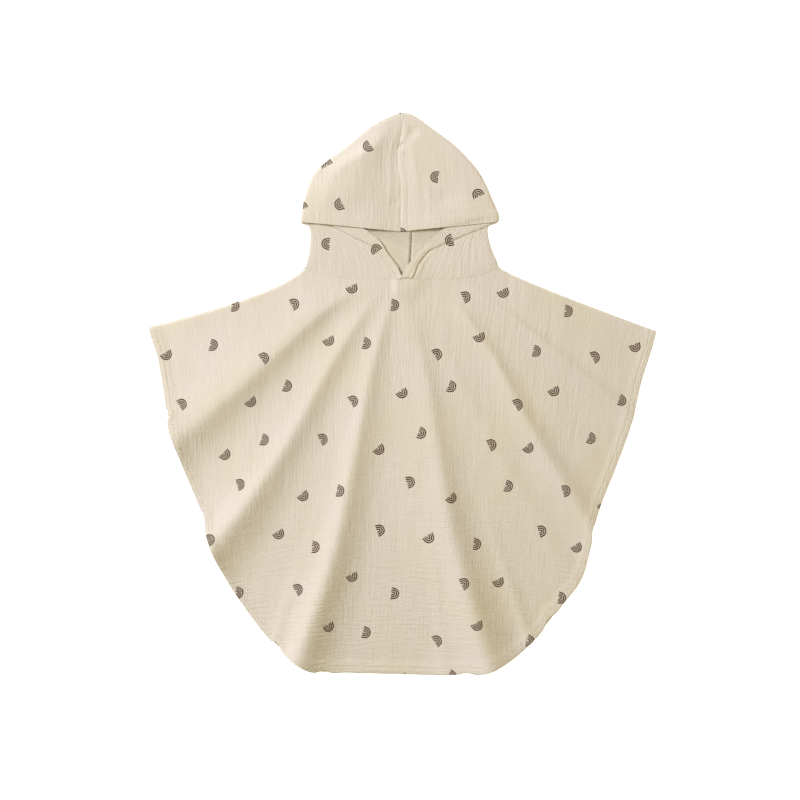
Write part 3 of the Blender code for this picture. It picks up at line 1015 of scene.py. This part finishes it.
STITCH_PITCH, STITCH_LENGTH, STITCH_WIDTH = 3.1, 2.4, 0.5
THREAD_LIGHT, THREAD_DEEP = (0.80, 0.70, 0.56, 1), (0.66, 0.56, 0.42, 1)
TWIST_SCALE = 2600.0
# A row of stitches runs this far inside its fold's inner edge, and a facing's row this far above its line.
STITCH_INSET, FACING_INSET = 0.8, 1.2
HEM_STEPS, HOOD_STEPS = 400, 40
# How far the hood's rows stay off the seam, the visor's hem and their far ends.
OFF_SEAM, OFF_HEM, OFF_END = 1.5, 2, 6
# The stitches are dropped on the cloth from this height.
DROP_FROM = 60.0


def cotton_thread():
    material = bpy.data.materials.new("cotton_thread")
    material.use_nodes = True
    shader = material.node_tree.nodes["Principled BSDF"]
    wires = Wire(material.node_tree)
    place = wires.node("TexCoord", {}, {}, "Object")
    colour = place.swirl(TWIST_SCALE, 1.0).between(THREAD_LIGHT, THREAD_DEEP)
    material.node_tree.links.new(colour.socket, shader.inputs["Base Color"])
    shader.inputs["Roughness"].default_value = 0.8
    return material


THREAD = cotton_thread()


def evenly(path, pitch):
    """Points at an even pitch along a path, each with the path's direction there."""
    left = pitch / 2
    for first, second in zip(path, path[1:]):
        step = Vector(second) - Vector(first)
        while left <= step.length:
            yield Vector(first) + step.normalized() * left, step.normalized()
            left += pitch
        left -= step.length


def stitches(name, cloth, paths):
    """Rows of stitches along paths in plan, each stitch laid on the cloth's upper face."""
    surface = BVHTree.FromObject(cloth, bpy.context.evaluated_depsgraph_get())
    down = Vector((0, 0, -1))
    mesh = bmesh.new()
    for path in paths:
        for place, run in evenly(path, STITCH_PITCH):
            spot, normal, _, _ = surface.ray_cast(Vector((place.x, place.y, DROP_FROM)) * MM, down)
            if spot is None:
                continue
            ahead = (run.to_3d() - normal * run.to_3d().dot(normal)).normalized()
            turn = Matrix((ahead, normal.cross(ahead), normal)).transposed().to_4x4()
            size = Matrix.Diagonal((STITCH_LENGTH * MM, STITCH_WIDTH * MM, STITCH_WIDTH * MM, 1))
            matrix = Matrix.Translation(spot) @ turn @ size
            bmesh.ops.create_icosphere(mesh, subdivisions=1, radius=0.5, matrix=matrix)
    data = bpy.data.meshes.new(name)
    mesh.to_mesh(data)
    mesh.free()
    data.shade_smooth()
    data.materials.append(THREAD)
    thread = bpy.data.objects.new(name, data)
    bpy.context.scene.collection.objects.link(thread)
    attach(thread, "root")


hem_path = []
for i in range(HEM_STEPS + 1):
    direction = mix(EDGE[0].direction, EDGE[-1].direction, i / HEM_STEPS)
    length = front_reach(direction)
    down = 1 - (HEM_WIDTH - STITCH_INSET) / length
    hem_path.append(fan_point(i / HEM_STEPS, down, FRONT_NECK_Y, length))
stitches("poncho_hem_stitches", front_cloth, [hem_path])

for name, sign in (("left", -1), ("right", 1)):
    corner = getattr(STATIONS[MOUTH], name)
    steps = [i / HOOD_STEPS for i in range(HOOD_STEPS + 1)]
    xs = [mix(SEAM_X + sign * OFF_SEAM, corner - sign * OFF_END, step) for step in steps]
    paths = [[(x, visor_edge_y(x) + BAND_WIDTH - STITCH_INSET) for x in xs]]
    paths.append([(x, y + FACING_INSET) for x, y in FACINGS[name][2:]])
    if sign > 0:
        strip_x = SEAM_X + STRIP_WIDTH
        ys = [mix(VISORS[0].front_seam + OFF_HEM, STATIONS[-1].side_y - OFF_END, step) for step in steps]
        paths.append([(strip_x + wander(strip_x, y, "front"), y) for y in ys])
    stitches(f"hood_{name}_stitches", hood_cloths[name], paths)


# ----------------------------------------------------------------------------------------------------
# Studio: a white sheet of board for a floor, a broad soft lamp from the upper left, a weaker warm one from
# the right and a pale even room.

FLOOR_SIDE = 40.0
BOARD_WHITE, BOARD_GLOW = (0.94, 0.94, 0.94, 1), 0.9
ROOM_WARMTH, ROOM_LIGHT = (1.0, 0.94, 0.47, 1), 0.27
# What the camera shows, in metres: its width on the floor and its centre.
VIEW_WIDTH = 0.9697
VIEW_CENTRE = (-0.0030, -0.0078)
LENS = 110.0
SENSOR = 36.0
SIGHT = 20

board = bmesh.new()
bmesh.ops.create_grid(board, x_segments=1, y_segments=1, size=FLOOR_SIDE / 2)
floor_data = bpy.data.meshes.new("floor")
board.to_mesh(floor_data)
board.free()
floor = bpy.data.objects.new("floor", floor_data)
bpy.context.scene.collection.objects.link(floor)
white = bpy.data.materials.new("white_board")
white.use_nodes = True
board_shader = white.node_tree.nodes["Principled BSDF"]
board_shader.inputs["Base Color"].default_value = BOARD_WHITE
board_shader.inputs["Roughness"].default_value = 0.9
board_shader.inputs["Emission Color"].default_value = (1, 1, 1, 1)
board_shader.inputs["Emission Strength"].default_value = BOARD_GLOW
floor_data.materials.append(white)


def lamp(name, place, side, power, colour):
    """A round lamp that points at the middle of the towel."""
    light = bpy.data.lights.new(name, "AREA")
    light.shape = "DISK"
    light.size = side
    light.energy = power
    light.color = colour
    holder = bpy.data.objects.new(name, light)
    holder.location = place
    holder.rotation_euler = (-Vector(place)).to_track_quat("-Z", "Y").to_euler()
    bpy.context.scene.collection.objects.link(holder)


lamp("key_lamp", place=(-1.9, 1.36, 2.0), side=1.5, power=92, colour=(0.97, 1.0, 1.15))
lamp("warm_fill_lamp", place=(2.6, -0.6, 2.2), side=2.4, power=16, colour=(1.0, 0.82, 0.42))

# The room sheds a warm light on the cloth, and is itself seen as white.
room = bpy.data.worlds.new("pale_room")
room.use_nodes = True
warm = room.node_tree.nodes["Background"]
warm.inputs["Color"].default_value = ROOM_WARMTH
warm.inputs["Strength"].default_value = ROOM_LIGHT
wires = Wire(room.node_tree)
seen = wires.node("LightPath", {}, {}, "Is Camera Ray")
plain = wires.node("Background", {}, {"Color": (1, 1, 1, 1), "Strength": 1.0})
either = wires.node("MixShader", {}, {0: seen, 1: Wire(room.node_tree, warm.outputs[0]), 2: plain})
room.node_tree.links.new(either.socket, room.node_tree.nodes["World Output"].inputs["Surface"])
bpy.context.scene.world = room
bpy.context.scene.view_settings.view_transform = "Standard"

camera_data = bpy.data.cameras.new("camera")
camera_data.lens = LENS
camera_data.sensor_width = SENSOR
camera = bpy.data.objects.new("camera", camera_data)
camera.location = (*VIEW_CENTRE, VIEW_WIDTH * LENS / SENSOR)
camera_data.clip_end = SIGHT
bpy.context.scene.collection.objects.link(camera)
bpy.context.scene.camera = camera
